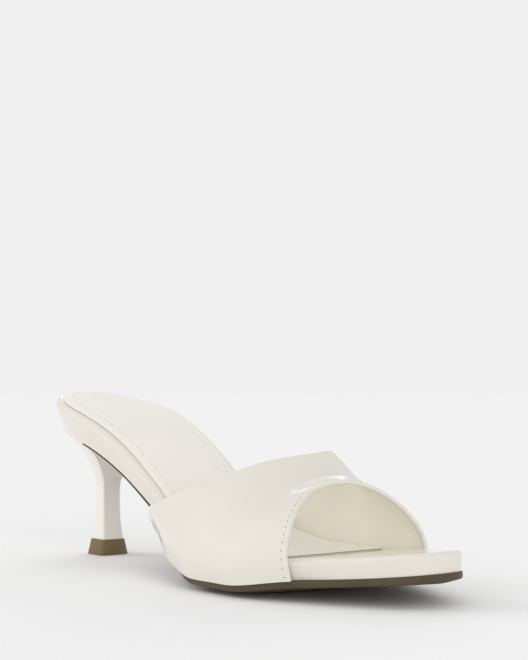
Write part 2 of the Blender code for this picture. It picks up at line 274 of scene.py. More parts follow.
def tint(tree, shader, source, colour, dark, low=0.35, high=0.65):
    """Vary the base colour between the colour and a darker share of it."""
    ramp = tree.nodes.new("ShaderNodeValToRGB")
    ramp.color_ramp.elements[0].position = low
    ramp.color_ramp.elements[1].position = high
    ramp.color_ramp.elements[0].color = (*[channel * dark for channel in colour], 1.0)
    ramp.color_ramp.elements[1].color = (*colour, 1.0)
    tree.links.new(source, ramp.inputs["Fac"])
    tree.links.new(ramp.outputs["Color"], shader.inputs["Base Color"])


def vary_roughness(tree, shader, source, low, high):
    span = tree.nodes.new("ShaderNodeMapRange")
    span.inputs["To Min"].default_value = low
    span.inputs["To Max"].default_value = high
    tree.links.new(source, span.inputs["Value"])
    tree.links.new(span.outputs["Result"], shader.inputs["Roughness"])


def bumps(tree, shader, layers, coat=False):
    """Stack bumps, each a height source with its depth in metres; the coat may follow them."""
    normal = None
    for source, depth in layers:
        bump = tree.nodes.new("ShaderNodeBump")
        bump.inputs["Strength"].default_value = 1.0
        bump.inputs["Distance"].default_value = depth
        tree.links.new(source, bump.inputs["Height"])
        if normal:
            tree.links.new(normal, bump.inputs["Normal"])
        normal = bump.outputs["Normal"]
    tree.links.new(normal, shader.inputs["Normal"])
    if coat:
        tree.links.new(normal, shader.inputs["Coat Normal"])


def patent_material(name, colour):
    """Patent: a clear glossy coat over off-white leather, faintly wavy and never quite even."""
    made, tree, shader = material(name, colour, 0.32, coat=0.8, coat_roughness=0.04)
    wave = noise(tree, 55.0, detail=1.0)
    peel = noise(tree, 900.0, detail=2.0)
    cloud = noise(tree, 22.0, detail=2.0)
    tint(tree, shader, cloud.outputs["Fac"], colour, 0.975)
    vary_roughness(tree, shader, wave.outputs["Fac"], 0.26, 0.38)
    layers = ((wave.outputs["Fac"], 0.00006), (peel.outputs["Fac"], 0.000004))
    bumps(tree, shader, layers, coat=True)
    return made


def lining_material():
    # Cream lining colour, raised as painted light against the shade inside the band
    colour = colours().lining
    made, tree, shader = material("lining_cream_with_painted_light", colour, 0.68)
    cloud = noise(tree, 30.0)
    grain = cells(tree, 1700.0)
    fibre = noise(tree, 2600.0, detail=2.0)
    tint(tree, shader, cloud.outputs["Fac"], colour, 0.96)
    vary_roughness(tree, shader, fibre.outputs["Fac"], 0.60, 0.78)
    bumps(tree, shader, ((grain.outputs["Distance"], 0.00003), (fibre.outputs["Fac"], 0.00001)))
    return made


def sock_material():
    colour = colours().sock
    made, tree, shader = material("sock_leather", colour, 0.55)
    cloud = noise(tree, 24.0)
    grain = cells(tree, 1500.0)
    fibre = noise(tree, 2200.0, detail=2.0)
    tint(tree, shader, cloud.outputs["Fac"], colour, 0.97)
    vary_roughness(tree, shader, fibre.outputs["Fac"], 0.48, 0.66)
    bumps(tree, shader, ((grain.outputs["Distance"], 0.00003), (fibre.outputs["Fac"], 0.00001)))
    return made


def sock_edge_shadow_material():
    """The sock's cut edge, coloured dark as painted shade: the thin dark line round the foot is the
    shadow along the sock's edge.
    """
    colour = (0.50, 0.46, 0.385)
    made, tree, shader = material("sock_edge", colour, 0.8)
    fibre = noise(tree, 2600.0)
    tint(tree, shader, fibre.outputs["Fac"], colour, 0.8)
    bumps(tree, shader, ((fibre.outputs["Fac"], 0.00002),))
    return made


def rubber_material(name, colour, roughness):
    made, tree, shader = material(name, colour, roughness)
    cloud = noise(tree, 60.0)
    grain = noise(tree, 1800.0, detail=4.0)
    shader.inputs["Specular IOR Level"].default_value = 0.25
    tint(tree, shader, cloud.outputs["Fac"], colour, 0.80)
    vary_roughness(tree, shader, grain.outputs["Fac"], roughness - 0.08, roughness + 0.10)
    bumps(tree, shader, ((grain.outputs["Fac"], 0.00003),))
    return made


def tread_material():
    """The outsole's underside: the same rubber with a fine moulded rib across the walk."""
    made, tree, shader = material("moulded_tread", colours().sole, 0.6)
    cloud = noise(tree, 60.0)
    grain = noise(tree, 1800.0, detail=4.0)
    place = tree.nodes.new("ShaderNodeTexCoord")
    ribs = tree.nodes.new("ShaderNodeTexWave")
    ribs.bands_direction = "X"
    ribs.inputs["Scale"].default_value = 120.0
    tree.links.new(place.outputs["Object"], ribs.inputs["Vector"])
    tint(tree, shader, cloud.outputs["Fac"], colours().sole, 0.80)
    bumps(tree, shader, ((ribs.outputs["Fac"], 0.0002), (grain.outputs["Fac"], 0.00003)))
    return made


def stitch_materials():
    """Sewing thread, and the painted shade of the needle holes between the stitches: a dark
    material for the shadow inside each hole.
    """
    if "thread" in bpy.data.materials:
        return bpy.data.materials["thread"], bpy.data.materials["needle_hole_shade"]
    colour = colours().thread
    thread, tree, shader = material("thread", colour, 0.5)
    strands = noise(tree, 3500.0)
    tint(tree, shader, strands.outputs["Fac"], colour, 0.85)
    bumps(tree, shader, ((strands.outputs["Fac"], 0.00004),))
    hole_shade, tree, shader = material("needle_hole_shade", (0.10, 0.085, 0.06), 0.8)
    grain = noise(tree, 3000.0)
    tint(tree, shader, grain.outputs["Fac"], (0.10, 0.085, 0.06), 0.7)
    return thread, hole_shade


# The last: the shoe's shape along and round it, in metres from the back of the seat

class Curve:
    """Values along a line, read on a smooth curve that never overshoots."""

    def __init__(self, keys, values):
        self.keys = keys
        self.values = values
        steps = [b - a for a, b in zip(keys, keys[1:])]
        slopes = [(b - a) / step for a, b, step in zip(values, values[1:], steps)]
        self.tangents = [slopes[0]]
        for i in range(1, len(slopes)):
            if slopes[i - 1] * slopes[i] <= 0:
                self.tangents.append(0.0)
                continue
            before = 2 * steps[i] + steps[i - 1]
            after = steps[i] + 2 * steps[i - 1]
            self.tangents.append((before + after) / (before / slopes[i - 1] + after / slopes[i]))
        self.tangents.append(slopes[-1])

    def __call__(self, place):
        keys, values, tangents = self.keys, self.values, self.tangents
        place = min(max(place, keys[0]), keys[-1])
        span = min(sum(key <= place for key in keys), len(keys) - 1) - 1
        step = keys[span + 1] - keys[span]
        t = (place - keys[span]) / step
        rising = t * t * (3 - 2 * t)
        bend = t * (1 - t) * step * ((1 - t) * tangents[span] - t * tangents[span + 1])
        return values[span] * (1 - rising) + values[span + 1] * rising + bend


# Half widths, as shares of the ball width
PLAN = (0.00, 0.18, 0.30, 0.42, 0.54, 0.64, 0.72, 0.82, 0.92, 1.00)
LATERAL = Curve(PLAN, (0.350, 0.355, 0.323, 0.314, 0.430, 0.505, 0.505, 0.410, 0.262, 0.152))
MEDIAL = Curve(PLAN, (0.346, 0.352, 0.321, 0.304, 0.375, 0.472, 0.488, 0.416, 0.288, 0.188))

# Arch, tread and sides along the shoe, each as a share of its own full measure
SIDE = (0.00, 0.07, 0.20, 0.30, 0.42, 0.54, 0.64, 0.72, 0.82, 0.92, 1.00)
RISE = Curve(SIDE, (1.0, 0.944, 0.82, 0.645, 0.366, 0.07, 0.0, 0.0, 0.0, 0.0, 0.0))
LIFT = Curve(SIDE, (0.0, 0.0, 0.0, 0.0, 0.0, 1.0, 1.0, 1.0, 1.0, 1.0, 1.0))
SPRING = Curve(SIDE, (0.0, 0.0, 0.0, 0.0, 0.0, 0.0, 0.0, 0.0, 0.41, 0.70, 1.0))
CROWN = Curve(SIDE, (0.0, 0.0, 0.0, 0.30, 0.55, 0.90, 1.0, 1.0, 0.72, 0.40, 0.25))
EDGE = Curve(SIDE, (1.0, 1.0, 1.0, 1.0, 0.72, 0.25, 0.0, 0.0, 0.0, 0.0, 0.0))
TUCK = Curve(SIDE, (1.0, 1.0, 1.0, 1.0, 1.0, 0.70, 0.50, 0.45, 0.35, 0.15, 0.15))
WELT = Curve(SIDE, (1.0, 1.0, 1.0, 1.0, 0.95, 0.45, 0.05, 0.0, 0.0, 0.0, 0.0))
STEP = Curve(SIDE, (0.0, 0.0, 0.0, 0.0, 0.1, 0.3, 0.4, 0.4, 0.5, 0.5, 0.5))
SOLE = Curve(SIDE, (0.30, 0.30, 0.32, 0.42, 0.58, 0.85, 1.0, 1.0, 1.0, 1.0, 1.0))

# The band's crest along the shoe, and its two edges by their turn over the foot
CREST = (0.38, 0.46, 0.54, 0.62, 0.70, 0.77, 0.86)
CREST_HEIGHT = Curve(CREST, (0.62, 0.86, 1.00, 1.00, 0.72, 0.62, 0.41))
CREST_INWARD = Curve(CREST, (0.68, 0.68, 0.83, 0.99, 0.83, 0.38, 0.16))
TURN = (0.00, 0.14, 0.28, 0.42, 0.50, 0.58, 0.72, 0.86, 1.00)
COLLAR = Curve(TURN, (0.10, 0.45, 0.86, 0.99, 1.00, 0.94, 0.84, 0.53, 0.14))
OPENING = Curve(TURN, (0.03, 0.17, 0.56, 0.98, 1.00, 0.85, 0.58, 0.22, 0.02))

# The heel from its foot to the seat
HEEL = (0.00, 0.06, 0.15, 0.28, 0.42, 0.54, 0.60, 0.67, 0.75, 0.82, 0.88, 0.94, 0.97, 1.00)
HEEL_FOOT = Curve(HEEL, (1.0, 0.72, 0.36, 0.08, 0.0, 0.0, 0.0, 0.0, 0.0, 0.0, 0.0, 0.0, 0.0, 0.0))
HEEL_FLARE = Curve(HEEL, (0.0, 0.0, 0.0, 0.0, 0.0, 0.020, 0.085, 0.185, 0.330, 0.480, 0.640,
                          0.830, 0.930, 1.0))


def half_width(x, side):
    """The shoe's half width at x, on the lateral (-1) or the medial (+1) side."""
    width = BALL_WIDTH * (LATERAL if side < 0 else MEDIAL)(x / LENGTH)
    if x < SEAT_ROUND:
        width *= max(0.0, 1 - (1 - x / SEAT_ROUND) ** 2) ** 0.5
    if x > LENGTH - TOE_ROUND:
        reach = min(1.0, (x - LENGTH + TOE_ROUND) / TOE_ROUND)
        width *= (1 - reach ** TOE_SQUARENESS) ** (1 / TOE_SQUARENESS)
    return width


def tread(x, across):
    """The outsole's underside, from the middle at 0 to the edge at 1."""
    along = x / LENGTH
    edge = SEAT_HEIGHT * RISE(along) + TREAD_LIFT * LIFT(along) + TOE_SPRING * SPRING(along)
    return max(0.0, edge - TREAD_CROWN * CROWN(along) * (1 - across ** 2))


def sole_top(x, across):
    return tread(x, across) + OUTSOLE_THICKNESS * SOLE(x / LENGTH)


def side_height(x):
    return FOREFOOT_EDGE + (WAIST_EDGE - FOREFOOT_EDGE) * EDGE(x / LENGTH)


def footbed_top(x, across=1.0):
    return sole_top(x, 1.0) + CLEARANCE + side_height(x)


def tuck(x, share=1.0):
    """How far the footbed's side has drawn in, at a share of the way down it."""
    return WAIST_TUCK * TUCK(x / LENGTH) * min(1.0, share / 0.95) ** 1.3


def step(x):
    """How far the footbed stands in from the sole's outline, to leave room for the band."""
    return BAND_STEP * STEP(x / LENGTH)


def side_point(x, side, inset, cuts=()):
    """A point of the plan outline, drawn in square to itself; beside a cut it keeps its x."""
    low, high = max(0.0, x - WELD), min(LENGTH, x + WELD)
    slope = (half_width(high, side) - half_width(low, side)) / (high - low)
    slant = (1 + slope ** 2) ** 0.5
    free = min([1.0] + [abs(x - cut) / CUT_REACH for cut in cuts])
    forward = inset * slope / slant * free
    return x + forward, side * (half_width(x, side) - inset * slant + slope * forward)


def ring(inset, height, start=0.0, end=LENGTH):
    """A closed ring of the shoe's plan, from the back round the lateral side to the toe."""
    cuts = [cut for cut, tip in ((start, 0.0), (end, LENGTH)) if cut != tip]
    along = [start + (end - start) * (1 - cos(pi * i / STATIONS)) / 2 for i in range(STATIONS + 1)]
    lateral = [side_point(x, -1, inset(x), cuts) for x in along]
    medial = [side_point(x, 1, inset(x), cuts) for x in along]

    def between(i):
        return [(lateral[i][0], lateral[i][1] + (medial[i][1] - lateral[i][1]) * j / RIBS,
                 abs(2 * j / RIBS - 1)) for j in range(1, RIBS)]

    plan = [point + (1.0,) for point in lateral]
    if end in cuts:
        plan += between(-1) + [medial[-1] + (1.0,)]
    plan += [point + (1.0,) for point in medial[-2:0:-1]]
    if start in cuts:
        plan += [medial[0] + (1.0,)] + between(0)[::-1]
    return [(x, y, height(x, across)) for x, y, across in plan]


def ease(low, high, place):
    """A smooth step from 0 at low to 1 at high."""
    share = min(1.0, max(0.0, (place - low) / (high - low)))
    return share * share * (3 - 2 * share)


# Modelling helpers

def only(piece=None):
    """Leave edit mode and select one object alone, or nothing."""
    if bpy.context.object and bpy.context.object.mode != "OBJECT":
        bpy.ops.object.mode_set(mode="OBJECT")
    bpy.ops.object.select_all(action="DESELECT")
    if piece:
        piece.select_set(True)
        bpy.context.view_layer.objects.active = piece


def new_piece(name, points, faces):
    """A piece from points on the last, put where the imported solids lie."""
    mesh = bpy.data.meshes.new(name)
    mesh.from_pydata([Vector(point) + PLACE for point in points], [], faces)
    piece = bpy.data.objects.new(name, mesh)
    bpy.context.scene.collection.objects.link(piece)
    return piece


def walls(levels, count):
    """Faces between rings of count points each, stacked from the lowest up."""
    faces = []
    for level in range(levels - 1):
        for i in range(count):
            after = (i + 1) % count
            lower, upper = level * count, (level + 1) * count
            faces.append((lower + i, lower + after, upper + after, upper + i))
    return faces


def layered(name, rings, low, high, cut_start=False, cut_end=False):
    """A closed piece from rings stacked from the lowest up, with ribbed faces below and above."""
    count = len(rings[0])
    extra = RIBS if cut_end else 0
    points = [point for stacked in rings for point in stacked]
    faces = walls(len(rings), count)
    for height, offset, facing_up in ((low, 0, False), (high, (len(rings) - 1) * count, True)):
        grid = []
        for i in range(STATIONS + 1):
            left, right = i, 2 * STATIONS + extra - i
            if 0 < i < STATIONS:
                near, far = points[offset + left], points[offset + right]
                row = [offset + left]
                for j in range(1, RIBS):
                    share = j / RIBS
                    x = near[0] + (far[0] - near[0]) * share
                    y = near[1] + (far[1] - near[1]) * share
                    row.append(len(points))
                    points.append((x, y, height(x, abs(2 * share - 1))))
                row.append(offset + right)
            elif i == 0 and cut_start:
                row = [offset] + [offset + count - j for j in range(1, RIBS + 1)]
            elif i == STATIONS and cut_end:
                row = [offset + STATIONS + j for j in range(RIBS + 1)]
            else:
                row = [offset + i] * (RIBS + 1)
            grid.append(row)
        for before, after in zip(grid[:-1], grid[1:]):
            for j in range(RIBS):
                face = list(dict.fromkeys((before[j], after[j], after[j + 1], before[j + 1])))
                faces.append(face if facing_up else face[::-1])
    return new_piece(name, points, faces)


def finish(piece, node, slot, *materials):
    """Give a finished piece its materials, its smooth shading and its place in the frame."""
    for made in materials:
        piece.data.materials.append(made)
    only(piece)
    bpy.ops.object.shade_smooth_by_angle(angle=radians(40))
    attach(piece, BODY)
    if node:
        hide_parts(node)


def paint(piece, index, wanted):
    """Give the faces that wanted(face) names a material slot."""
    for face in piece.data.polygons:
        if wanted(face):
            face.material_index = index


def run_lengths(points):
    lengths = [0.0]
    for before, after in zip(points, points[1:]):
        lengths.append(lengths[-1] + (after - before).length)
    return lengths


def along_run(points, lengths, place):
    """The point at a distance along a run, on a cubic curve through its points."""
    last = len(points) - 1
    span = max(0, min(last - 1, sum(length <= place for length in lengths) - 1))
    reach = lengths[span + 1] - lengths[span]
    t = (place - lengths[span]) / reach

    def slope(i):
        low, high = max(0, i - 1), min(last, i + 1)
        return (points[high] - points[low]) / (lengths[high] - lengths[low]) * reach

    rising = t * t * (3 - 2 * t)
    return (points[span] * (1 - rising) + points[span + 1] * rising
            + slope(span) * (t * (1 - t) ** 2) - slope(span + 1) * (t * t * (1 - t)))


def even(points, count):
    """Resample a run of points at equal distances."""
    lengths = run_lengths(points)
    return [along_run(points, lengths, lengths[-1] * i / (count - 1)) for i in range(count)]


def settle(points, rounds):
    """Let a run of points draw smooth between its fixed ends, as leather does over a last."""
    for _ in range(rounds):
        points = (points[:1] + [(a + b * 2 + c) / 4 for a, b, c
                                in zip(points, points[1:], points[2:])] + points[-1:])
    return points


# Pieces

class MULE_OT_outsole(Operator):
    """Model the brown moulded outsole"""
    bl_idname = "mule.outsole"
    bl_label = "Outsole"

    def execute(self, context):
        def corner(x):
            return 0.30 * OUTSOLE_THICKNESS * SOLE(x / LENGTH)

        def level(turn):
            def inset(x):
                return WAIST_TUCK * WELT(x / LENGTH) + corner(x) * (1 - cos(radians(turn)))

            def height(x, across):
                return tread(x, across) + corner(x) * (1 - sin(radians(turn)))

            return ring(inset, height, OUTSOLE_START + 0.0003 * (turn > 45))

        def rim(share):
            return ring(lambda x: WAIST_TUCK * WELT(x / LENGTH) + 0.0002 * share,
                        lambda x, across: sole_top(x, across) - 0.0002 * (1 - share), OUTSOLE_START)

        rings = [level(turn) for turn in (90, 60, 30, 0)] + [rim(share) for share in (0.0, 1.0)]
        sole = layered("moulded_outsole", rings, tread, sole_top, cut_start=True)
        finish(sole, "outsole", "outsole", rubber_material("moulded_sole", colours().sole, 0.5),
               tread_material())
        paint(sole, 1, lambda face: face.normal.z < -0.6)
        return {"FINISHED"}


class MULE_OT_platform(Operator):
    """Model the patent-wrapped footbed"""
    bl_idname = "mule.platform"
    bl_label = "Platform"

    def execute(self, context):
        def round_off(x):
            return sizes().toe_round + (sizes().seat_round - sizes().toe_round) * ease(
                0.150, 0.100, x)

        def low(x, across):
            return sole_top(x, across) + SEAM

        def inset(x, share):
            reach = sizes().toe_reach * ease(0.201, 0.214, x)
            return step(x) - reach + tuck(x, share)

        def side(place):
            def share(x):
                return 1 - place * (1 - round_off(x) / side_height(x))

            return ring(lambda x: inset(x, share(x)),
                        lambda x, across: low(x, across) + (1 - share(x)) * side_height(x))

        def shoulder(turn):
            def draw(x):
                drop = round_off(x) * (1 - sin(radians(turn)))
                return inset(x, drop / side_height(x)) + round_off(x) * (1 - cos(radians(turn)))

            return ring(draw, lambda x, across:
                        footbed_top(x) - round_off(x) * (1 - sin(radians(turn))))

        rings = [side(place) for place in (0.0, 0.08, 0.25, 0.5, 0.75)]
        rings += [shoulder(turn) for turn in range(0, 91, 15)]
        platform = layered("wrapped_platform", rings, low, footbed_top)
        finish(platform, "platform", "platform", patent_material("patent", colours().patent))
        return {"FINISHED"}


class MULE_OT_sock(Operator):
    """Model the sock under the foot, thinned towards its edges"""
    bl_idname = "mule.sock"
    bl_label = "Sock"

    def execute(self, context):
        edge, slope = sizes().sock_edge, sizes().sock_slope

        def low(x, across):
            return footbed_top(x) + 0.00002

        def top(x, across):
            return footbed_top(x) + SOCK_THICKNESS

        def rim(share):
            def height(x, across):
                climb = ease(-0.15, 1.0, share) if share else 0.0
                return footbed_top(x) + edge + (SOCK_THICKNESS - edge) * climb

            return ring(lambda x: step(x) + SOCK_INSET + slope * share, height,
                        end=SOCK_END - slope * share)

        rings = [ring(lambda x: step(x) + SOCK_INSET, low, end=SOCK_END)]
        rings += [rim(share) for share in (0.0, 0.06, 0.2, 0.4, 0.6, 0.8, 1.0)]
        sock = layered("leather_sock", rings, low, top, cut_end=True)
        finish(sock, "sock", "sock", sock_material(), sock_edge_shadow_material())
        # Slot 1, the dark edge material, paints the shadow line along the sock's edge
        paint(sock, 1, lambda face: face.index < len(rings[0]))
        return {"FINISHED"}


def turns(corner):
    """Angles round a four-cornered section, with one of them on each corner."""
    steps = HEEL_POINTS // 8
    quarter = [corner * i / steps for i in range(steps)]
    quarter += [corner + (pi / 2 - corner) * i / steps for i in range(steps)]
    half = quarter + [pi / 2] + [pi - turn for turn in quarter[:0:-1]]
    return half + [pi] + [2 * pi - turn for turn in half[:0:-1]]


def block_radius(turn, depth, width):
    """Radius of a block's section with softened corners, at an angle from straight ahead."""
    ahead = abs(cos(turn) / (depth / 2)) ** HEEL_SQUARENESS
    aside = abs(sin(turn) / (width / 2)) ** HEEL_SQUARENESS
    return (ahead + aside) ** (-1 / HEEL_SQUARENESS)


def seat_radius(turn, plan):
    """Distance from the heel's centre to the seat's outline in one direction."""
    along, across = cos(turn), sin(turn)
    reach = 0.0
    for first, second in zip(plan, plan[1:] + plan[:1]):
        x, y = first[0] - HEEL_CENTRE, first[1]
        dx, dy = second[0] - first[0], second[1] - first[1]
        spread = along * dy - across * dx
        if spread > 0:
            place = (across * x - along * y) / spread
            if -WELD <= place <= 1 + WELD:
                reach = max(reach, (x * dy - y * dx) / spread)
    return reach


def stacked(name, rings):
    """A closed piece from rings stacked from the lowest up, closed by strips across its ends."""
    count = len(rings[0])
    faces = walls(len(rings), count)
    for offset, facing_up in ((0, False), ((len(rings) - 1) * count, True)):
        for i in range(count // 2):
            corners = (i, i + 1, count - i - 1, (count - i) % count)
            face = [offset + corner for corner in dict.fromkeys(corners)]
            faces.append(face if facing_up else face[::-1])
    return new_piece(name, [point for level in rings for point in level], faces)


class MULE_OT_heel(Operator):
    """Model the patent-covered heel"""
    bl_idname = "mule.heel"
    bl_label = "Heel"

    def execute(self, context):
        foot = TOP_PIECE_HEIGHT + SEAM
        breast = OUTSOLE_START - CLEARANCE
        plan = ring(tuck, sole_top, end=breast)
        seat_turns = turns(atan2(half_width(breast, -1) - tuck(breast), breast - HEEL_CENTRE))
        rings = []
        for i in range(HEEL_LEVELS + 1):
            rise = i / HEEL_LEVELS
            depth = HEEL_STEM_DEPTH + (HEEL_FOOT_DEPTH - HEEL_STEM_DEPTH) * HEEL_FOOT(rise)
            width = HEEL_STEM_WIDTH + (HEEL_FOOT_WIDTH - HEEL_STEM_WIDTH) * HEEL_FOOT(rise)
            flare = HEEL_FLARE(rise)
            level = []
            for stem_turn, seat_turn in zip(turns(atan2(width, depth)), seat_turns):
                turn = stem_turn + (seat_turn - stem_turn) * flare
                stem = block_radius(stem_turn, depth, width)
                radius = stem + (seat_radius(seat_turn, plan) - stem) * flare
                x, y = HEEL_CENTRE + radius * cos(turn), radius * sin(turn)
                seat = sole_top(x, 1.0) + SEAM / 2
                level.append((x, y, foot + (seat - foot) * rise))
            rings.append(level)
        heel = stacked("covered_heel", rings)
        # The heel takes the lighter heel colour: painted light that offsets the shade on the heel
        finish(heel, "heel", "heel", patent_material("heel_patent_painted_lighter", colours().heel))
        return {"FINISHED"}


class MULE_OT_top_piece(Operator):
    """Model the brown top piece under the heel"""
    bl_idname = "mule.top_piece"
    bl_label = "Top Piece"

    def execute(self, context):
        edge = sizes().hard_edge
        rings = []
        for height, draw in ((0.0, edge), (edge * 0.3, edge * 0.3), (edge, 0.0),
                             (TOP_PIECE_HEIGHT - edge * 0.7, 0.0),
                             (TOP_PIECE_HEIGHT - edge * 0.2, edge * 0.2),
                             (TOP_PIECE_HEIGHT, edge * 0.7)):
            share = height / TOP_PIECE_HEIGHT
            depth = TOP_PIECE_DEPTH + (TOP_PIECE_TOP_DEPTH - TOP_PIECE_DEPTH) * share - 2 * draw
            width = TOP_PIECE_WIDTH + (TOP_PIECE_TOP_WIDTH - TOP_PIECE_WIDTH) * share - 2 * draw
            level = []
            for turn in turns(atan2(width, depth)):
                radius = block_radius(turn, depth, width)
                level.append((HEEL_CENTRE + radius * cos(turn), radius * sin(turn), height))
            rings.append(level)
        block = stacked("heel_top_piece", rings)
        finish(block, "top_piece", "top_piece",
               rubber_material("top_piece_rubber", colours().top_piece, 0.5))
        return {"FINISHED"}


def inner_face():
    """The band's inner face on the last: lines from the collar to the opening."""
    def rim(x, side, share=0.0):
        return side * side_point(x, side, step(x) + tuck(x, share) - BAND_GAP, [x])[1]

    def over_foot(x, turn):
        along = x / LENGTH
        middle = CREST_OFFSET * CREST_INWARD(along)
        side, fullness = (-1, LATERAL_FULLNESS) if turn < 0.5 else (1, MEDIAL_FULLNESS)
        reach = rim(x, side) - side * middle
        out = abs(cos(pi * turn)) ** (2 / fullness)
        up = max(0.0, sin(pi * turn)) ** (2 / fullness)
        height = INSTEP_HEIGHT * CREST_HEIGHT(along)
        return Vector((x, middle + side * reach * out, footbed_top(x) + height * up))

    def down_side(x, side, share):
        low = sole_top(x, 1.0) + SEAM
        return Vector((x, side * rim(x, side, share),
                       footbed_top(x) + share * (low - footbed_top(x))))

    def line(turn, share, place):
        back = COLLAR_CORNER + (COLLAR_CREST - COLLAR_CORNER) * COLLAR(turn) * (1 - share)
        front = OPENING_CORNER + (OPENING_CREST - OPENING_CORNER) * OPENING(turn) * (1 - share)
        return [place(back + (front - back) * i / BAND_STEPS) for i in range(BAND_STEPS + 1)]

    lines = [line(0.0, 1 - i / 8, lambda x: down_side(x, -1, 1 - i / 8)) for i in range(8)]
    lines += [line(i / 96, 0.0, lambda x: over_foot(x, i / 96)) for i in range(97)]
    lines += [line(1.0, i / 8, lambda x: down_side(x, 1, i / 8)) for i in range(1, 9)]
    across = [settle(even(list(column), BAND_LINES), BAND_SETTLE) for column in zip(*lines)]
    return [list(line) for line in zip(*across)]


def square(lines, j, i):
    """The direction straight out of the band at a point of its grid."""
    last_line, last = len(lines) - 1, len(lines[0]) - 1
    over = lines[min(j + 1, last_line)][i] - lines[max(j - 1, 0)][i]
    forth = lines[j][min(i + 1, last)] - lines[j][max(i - 1, 0)]
    return forth.cross(over).normalized()


def outer_face():
    """The band's outer face, a wall's thickness outside its inner face."""
    inner = inner_face()
    outer = []
    for j, line in enumerate(inner):
        outer.append([point + square(inner, j, i) * WALL for i, point in enumerate(line)])
    return outer


def stand_out(point, side, share):
    """Move a point of the band's outer face out and down where its lower back corner is full."""
    x, y, z = point
    share *= ease(COLLAR_CORNER + CORNER_REACH, COLLAR_CORNER, x)
    share *= ease(footbed_top(x) + CORNER_RISE, footbed_top(x) - CORNER_DROP, z)
    reach = sizes().corner_fullness * share
    return Vector((x - 0.6 * reach, y + side * reach, z - 0.5 * reach))


class MULE_OT_band(Operator):
    """Model the vamp band with its folded edges and its lining"""
    bl_idname = "mule.band"
    bl_label = "Vamp Band"

    def execute(self, context):
        outer = outer_face()
        fold = WALL / 2
        turning, lower = sizes().turning, sizes().lining_step
        loops = []
        for j, line in enumerate(outer):
            lengths = run_lengths(line)
            total = lengths[-1]

            def frame_at(place):
                point = along_run(line, lengths, place)
                ahead = (along_run(line, lengths, min(total, place + 0.0004))
                         - along_run(line, lengths, max(0.0, place - 0.0004))).normalized()
                i = min(range(len(lengths)), key=lambda k: abs(lengths[k] - place))
                out = square(outer, j, i)
                out = (out - ahead * out.dot(ahead)).normalized()
                return point, ahead, out

            slants = []
            for end in (0, -1):
                near = outer[max(j - 1, 0)][end] - outer[min(j + 1, len(outer) - 1)][end]
                ahead = (line[1] - line[0]) if end == 0 else (line[-1] - line[-2])
                slants.append(max(SHARPEST_SLANT,
                                  ahead.normalized().cross(near.normalized()).length))
            back, front = slants
            places = [(fold + FOLD_ROW) / back]
            start, stop = PLAIN_ROW / back, total - PLAIN_ROW / front
            places += [start + (stop - start) * k / BAND_STEPS for k in range(BAND_STEPS + 1)]
            places += [total - (fold + FOLD_ROW) / front]
            loop = [(along_run(line, lengths, place), 0, 1.0) for place in places]

            point, ahead, out = frame_at(total - fold / front)
            centre = point - out * fold
            for turn in range(0, 181, 20):
                loop.append((centre + out * fold * cos(radians(turn))
                             + ahead * fold / front * sin(radians(turn)), 0,
                             0.5 + 0.5 * cos(radians(turn))))
            inner = [(total - turning / front, 0.0), (total - (turning + LIP) / front, lower),
                     (total - (turning + FOLD_ROW) / front, lower * LINING_LIE)]
            inner += [(place, lower * LINING_LIE) for place in places[-2:1:-1]]
            inner += [((turning + FOLD_ROW) / back, lower * LINING_LIE),
                      ((turning + LIP) / back, lower), (turning / back, 0.0)]
            for k, (place, sunk) in enumerate(inner):
                point, ahead, out = frame_at(place)
                loop.append((point - out * (WALL - sunk), int(0 < k < len(inner) - 1), 0.0))
            point, ahead, out = frame_at(fold / back)
            centre = point - out * fold
            for turn in range(180, -1, -20):
                loop.append((centre + out * fold * cos(radians(turn))
                             - ahead * fold / back * sin(radians(turn)), 0,
                             0.5 + 0.5 * cos(radians(turn))))
            side = -1 if j < len(outer) // 2 else 1
            loops.append([(stand_out(point, side, share), slot) for point, slot, share in loop])

        count = len(loops[0])
        points = [point for loop in loops for point, slot in loop]
        faces = walls(len(loops), count)
        faces += [tuple(range(count))[::-1], tuple(range((len(loops) - 1) * count,
                                                         len(loops) * count))]
        band = new_piece("vamp_band", points, faces)
        lined = [slot for point, slot in loops[0]]
        inside = [lined[k] and lined[(k + 1) % count] for k in range(count)]
        for face in band.data.polygons[:-2]:
            face.material_index = int(inside[face.index % count])
        only(band)
        bpy.ops.object.mode_set(mode="EDIT")
        bpy.ops.mesh.select_all(action="SELECT")
        bpy.ops.mesh.normals_make_consistent(inside=False)
        bpy.ops.object.mode_set(mode="OBJECT")
        finish(band, "upper", "upper", bpy.data.materials["patent"], lining_material())
        return {"FINISHED"}


